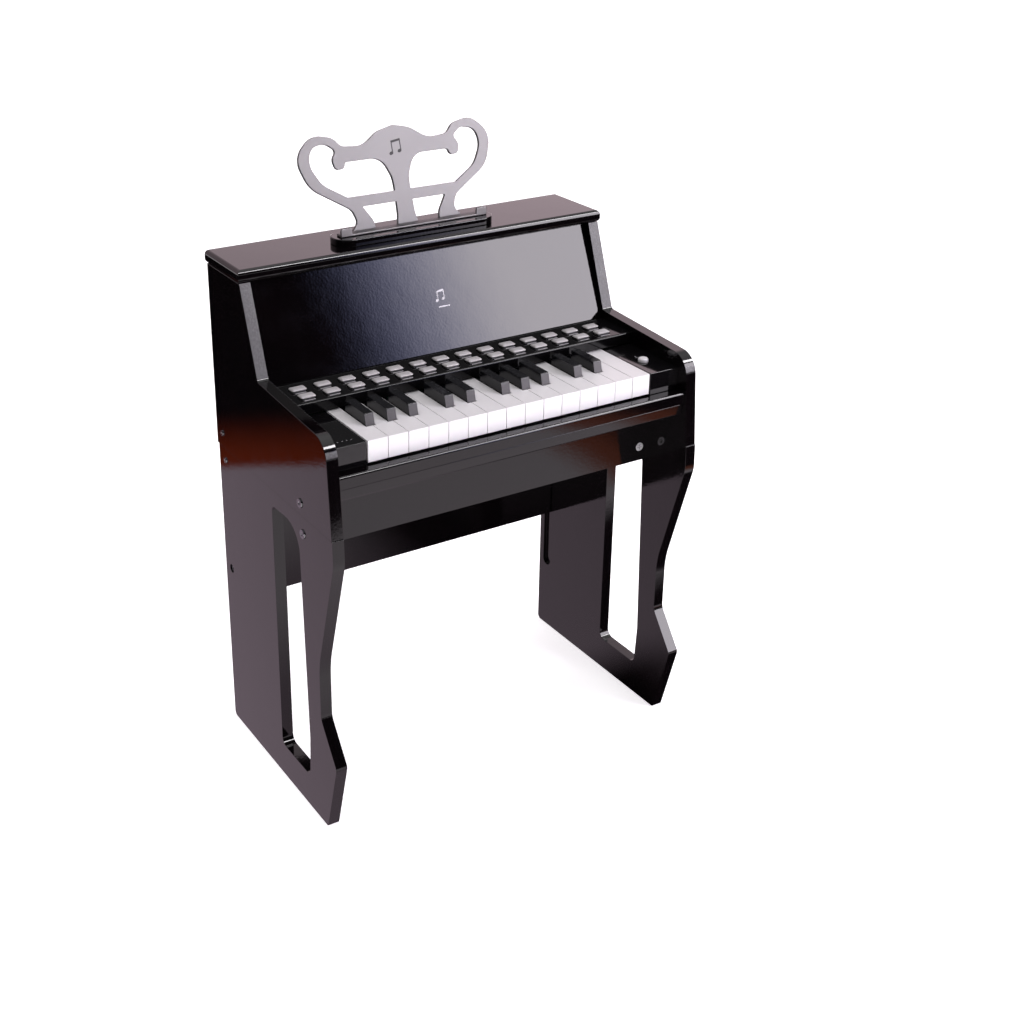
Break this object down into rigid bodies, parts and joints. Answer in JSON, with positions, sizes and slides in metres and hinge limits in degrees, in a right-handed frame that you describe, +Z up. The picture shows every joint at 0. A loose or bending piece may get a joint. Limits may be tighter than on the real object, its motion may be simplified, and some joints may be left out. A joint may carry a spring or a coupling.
{
  "type": "toy electronic keyboard",
  "caption": "Toy upright keyboard in a black lacquered cabinet on two panel legs, with sprung keys, sound buttons, a power button and a lyre-shaped music stand.",
  "frame": {"origin": "centre of the footprint of the whole object, on the floor", "axes": "+X to the player's right, +Y to the rear, +Z up; the player sits on the -Y side"},
  "size_m": [0.452, 0.2798, 0.6858],
  "materials": {
    "lacquer": "high gloss black lacquer over fibreboard",
    "panel_plastic": "gloss black moulded plastic",
    "frame_plastic": "plain black moulded plastic",
    "steel": "bright steel rod",
    "bolt_metal": "dark zinc plated steel",
    "silicone": "moulded rubber",
    "silicone_grey": "light grey silicone buttons",
    "circuit_board": "green circuit board",
    "speaker_black": "coated paper and steel",
    "cell_wrap": "plain coloured cell wrap",
    "white_plastic": "white moulded plastic, satin to gloss",
    "black_key_plastic": "satin black moulded plastic"
  },
  "bodies": {
    "cabinet": {"side_left": "lacquer", "side_right": "lacquer", "leg_left": "lacquer", "leg_right": "lacquer", "top_lid": "lacquer", "front_panel": "lacquer", "back_panel": "lacquer", "key_slip": "lacquer", "key_bed": "lacquer", "front_apron": "lacquer", "rear_stretcher": "lacquer", "stand_base": "lacquer", "stand_ledge": "lacquer", "stand_lyre": "lacquer", "cheek_left": "panel_plastic", "cheek_right": "panel_plastic", "button_panel": "panel_plastic", "key_frame": "frame_plastic", "key_rod": "steel", "contact_mat": "silicone", "key_board": "circuit_board", "button_board": "circuit_board", "main_board": "circuit_board", "speaker": "speaker_black", "battery_box": "frame_plastic", "battery_door": "frame_plastic", "batteries": "cell_wrap", "joining_plates": "lacquer", "frame_bolts": "bolt_metal", "stretcher_bolts": "bolt_metal"},
    "white_key_01": {"white_key_01": "white_plastic"},
    "white_key_02": {"white_key_02": "white_plastic"},
    "white_key_03": {"white_key_03": "white_plastic"},
    "white_key_04": {"white_key_04": "white_plastic"},
    "white_key_05": {"white_key_05": "white_plastic"},
    "white_key_06": {"white_key_06": "white_plastic"},
    "white_key_07": {"white_key_07": "white_plastic"},
    "white_key_08": {"white_key_08": "white_plastic"},
    "white_key_09": {"white_key_09": "white_plastic"},
    "white_key_10": {"white_key_10": "white_plastic"},
    "white_key_11": {"white_key_11": "white_plastic"},
    "white_key_12": {"white_key_12": "white_plastic"},
    "white_key_13": {"white_key_13": "white_plastic"},
    "white_key_14": {"white_key_14": "white_plastic"},
    "white_key_15": {"white_key_15": "white_plastic"},
    "black_key_01": {"black_key_01": "black_key_plastic"},
    "black_key_02": {"black_key_02": "black_key_plastic"},
    "black_key_03": {"black_key_03": "black_key_plastic"},
    "black_key_04": {"black_key_04": "black_key_plastic"},
    "black_key_05": {"black_key_05": "black_key_plastic"},
    "black_key_06": {"black_key_06": "black_key_plastic"},
    "black_key_07": {"black_key_07": "black_key_plastic"},
    "black_key_08": {"black_key_08": "black_key_plastic"},
    "black_key_09": {"black_key_09": "black_key_plastic"},
    "black_key_10": {"black_key_10": "black_key_plastic"},
    "buttons_rear_left": {"buttons_rear_left": "silicone_grey"},
    "buttons_rear_right": {"buttons_rear_right": "silicone_grey"},
    "buttons_front_left": {"buttons_front_left": "silicone_grey"},
    "buttons_front_right": {"buttons_front_right": "silicone_grey"},
    "power_button": {"power_button": "white_plastic"}
  },
  "joints": [
    {"name": "white_key_01_press", "type": "hinge", "parent": "cabinet", "child": "white_key_01", "pos_m": [0, 0.0141, 0.434], "axis": [1, 0, 0], "range_deg": [0, 2.17], "stiffness_Nm_per_rad": 0.8, "springref_deg": -3.44},
    {"name": "white_key_02_press", "type": "hinge", "parent": "cabinet", "child": "white_key_02", "pos_m": [0, 0.0141, 0.434], "axis": [1, 0, 0], "range_deg": [0, 2.17], "stiffness_Nm_per_rad": 0.8, "springref_deg": -3.44},
    {"name": "white_key_03_press", "type": "hinge", "parent": "cabinet", "child": "white_key_03", "pos_m": [0, 0.0141, 0.434], "axis": [1, 0, 0], "range_deg": [0, 2.17], "stiffness_Nm_per_rad": 0.8, "springref_deg": -3.44},
    {"name": "white_key_04_press", "type": "hinge", "parent": "cabinet", "child": "white_key_04", "pos_m": [0, 0.0141, 0.434], "axis": [1, 0, 0], "range_deg": [0, 2.17], "stiffness_Nm_per_rad": 0.8, "springref_deg": -3.44},
    {"name": "white_key_05_press", "type": "hinge", "parent": "cabinet", "child": "white_key_05", "pos_m": [0, 0.0141, 0.434], "axis": [1, 0, 0], "range_deg": [0, 2.17], "stiffness_Nm_per_rad": 0.8, "springref_deg": -3.44},
    {"name": "white_key_06_press", "type": "hinge", "parent": "cabinet", "child": "white_key_06", "pos_m": [0, 0.0141, 0.434], "axis": [1, 0, 0], "range_deg": [0, 2.17], "stiffness_Nm_per_rad": 0.8, "springref_deg": -3.44},
    {"name": "white_key_07_press", "type": "hinge", "parent": "cabinet", "child": "white_key_07", "pos_m": [0, 0.0141, 0.434], "axis": [1, 0, 0], "range_deg": [0, 2.17], "stiffness_Nm_per_rad": 0.8, "springref_deg": -3.44},
    {"name": "white_key_08_press", "type": "hinge", "parent": "cabinet", "child": "white_key_08", "pos_m": [0, 0.0141, 0.434], "axis": [1, 0, 0], "range_deg": [0, 2.17], "stiffness_Nm_per_rad": 0.8, "springref_deg": -3.44, "deforming": ["contact_mat"]},
    {"name": "white_key_09_press", "type": "hinge", "parent": "cabinet", "child": "white_key_09", "pos_m": [0, 0.0141, 0.434], "axis": [1, 0, 0], "range_deg": [0, 2.17], "stiffness_Nm_per_rad": 0.8, "springref_deg": -3.44},
    {"name": "white_key_10_press", "type": "hinge", "parent": "cabinet", "child": "white_key_10", "pos_m": [0, 0.0141, 0.434], "axis": [1, 0, 0], "range_deg": [0, 2.17], "stiffness_Nm_per_rad": 0.8, "springref_deg": -3.44},
    {"name": "white_key_11_press", "type": "hinge", "parent": "cabinet", "child": "white_key_11", "pos_m": [0, 0.0141, 0.434], "axis": [1, 0, 0], "range_deg": [0, 2.17], "stiffness_Nm_per_rad": 0.8, "springref_deg": -3.44},
    {"name": "white_key_12_press", "type": "hinge", "parent": "cabinet", "child": "white_key_12", "pos_m": [0, 0.0141, 0.434], "axis": [1, 0, 0], "range_deg": [0, 2.17], "stiffness_Nm_per_rad": 0.8, "springref_deg": -3.44},
    {"name": "white_key_13_press", "type": "hinge", "parent": "cabinet", "child": "white_key_13", "pos_m": [0, 0.0141, 0.434], "axis": [1, 0, 0], "range_deg": [0, 2.17], "stiffness_Nm_per_rad": 0.8, "springref_deg": -3.44},
    {"name": "white_key_14_press", "type": "hinge", "parent": "cabinet", "child": "white_key_14", "pos_m": [0, 0.0141, 0.434], "axis": [1, 0, 0], "range_deg": [0, 2.17], "stiffness_Nm_per_rad": 0.8, "springref_deg": -3.44},
    {"name": "white_key_15_press", "type": "hinge", "parent": "cabinet", "child": "white_key_15", "pos_m": [0, 0.0141, 0.434], "axis": [1, 0, 0], "range_deg": [0, 2.17], "stiffness_Nm_per_rad": 0.8, "springref_deg": -3.44},
    {"name": "black_key_01_press", "type": "hinge", "parent": "cabinet", "child": "black_key_01", "pos_m": [0, 0.0141, 0.434], "axis": [1, 0, 0], "range_deg": [0, 2.17], "stiffness_Nm_per_rad": 0.8, "springref_deg": -3.44},
    {"name": "black_key_02_press", "type": "hinge", "parent": "cabinet", "child": "black_key_02", "pos_m": [0, 0.0141, 0.434], "axis": [1, 0, 0], "range_deg": [0, 2.17], "stiffness_Nm_per_rad": 0.8, "springref_deg": -3.44},
    {"name": "black_key_03_press", "type": "hinge", "parent": "cabinet", "child": "black_key_03", "pos_m": [0, 0.0141, 0.434], "axis": [1, 0, 0], "range_deg": [0, 2.17], "stiffness_Nm_per_rad": 0.8, "springref_deg": -3.44},
    {"name": "black_key_04_press", "type": "hinge", "parent": "cabinet", "child": "black_key_04", "pos_m": [0, 0.0141, 0.434], "axis": [1, 0, 0], "range_deg": [0, 2.17], "stiffness_Nm_per_rad": 0.8, "springref_deg": -3.44},
    {"name": "black_key_05_press", "type": "hinge", "parent": "cabinet", "child": "black_key_05", "pos_m": [0, 0.0141, 0.434], "axis": [1, 0, 0], "range_deg": [0, 2.17], "stiffness_Nm_per_rad": 0.8, "springref_deg": -3.44},
    {"name": "black_key_06_press", "type": "hinge", "parent": "cabinet", "child": "black_key_06", "pos_m": [0, 0.0141, 0.434], "axis": [1, 0, 0], "range_deg": [0, 2.17], "stiffness_Nm_per_rad": 0.8, "springref_deg": -3.44},
    {"name": "black_key_07_press", "type": "hinge", "parent": "cabinet", "child": "black_key_07", "pos_m": [0, 0.0141, 0.434], "axis": [1, 0, 0], "range_deg": [0, 2.17], "stiffness_Nm_per_rad": 0.8, "springref_deg": -3.44},
    {"name": "black_key_08_press", "type": "hinge", "parent": "cabinet", "child": "black_key_08", "pos_m": [0, 0.0141, 0.434], "axis": [1, 0, 0], "range_deg": [0, 2.17], "stiffness_Nm_per_rad": 0.8, "springref_deg": -3.44},
    {"name": "black_key_09_press", "type": "hinge", "parent": "cabinet", "child": "black_key_09", "pos_m": [0, 0.0141, 0.434], "axis": [1, 0, 0], "range_deg": [0, 2.17], "stiffness_Nm_per_rad": 0.8, "springref_deg": -3.44},
    {"name": "black_key_10_press", "type": "hinge", "parent": "cabinet", "child": "black_key_10", "pos_m": [0, 0.0141, 0.434], "axis": [1, 0, 0], "range_deg": [0, 2.17], "stiffness_Nm_per_rad": 0.8, "springref_deg": -3.44},
    {"name": "buttons_rear_left_press", "type": "slide", "parent": "cabinet", "child": "buttons_rear_left", "axis": [0, 0, -1], "range_m": [0, 0.0015], "stiffness_N_per_m": 600, "springref_m": -0.001},
    {"name": "buttons_rear_right_press", "type": "slide", "parent": "cabinet", "child": "buttons_rear_right", "axis": [0, 0, -1], "range_m": [0, 0.0015], "stiffness_N_per_m": 600, "springref_m": -0.001},
    {"name": "buttons_front_left_press", "type": "slide", "parent": "cabinet", "child": "buttons_front_left", "axis": [0, 0, -1], "range_m": [0, 0.0015], "stiffness_N_per_m": 600, "springref_m": -0.001},
    {"name": "buttons_front_right_press", "type": "slide", "parent": "cabinet", "child": "buttons_front_right", "axis": [0, 0, -1], "range_m": [0, 0.0015], "stiffness_N_per_m": 600, "springref_m": -0.001},
    {"name": "power_button_press", "type": "slide", "parent": "cabinet", "child": "power_button", "axis": [0, 0, -1], "range_m": [0, 0.0015], "stiffness_N_per_m": 600, "springref_m": -0.001}
  ]
}
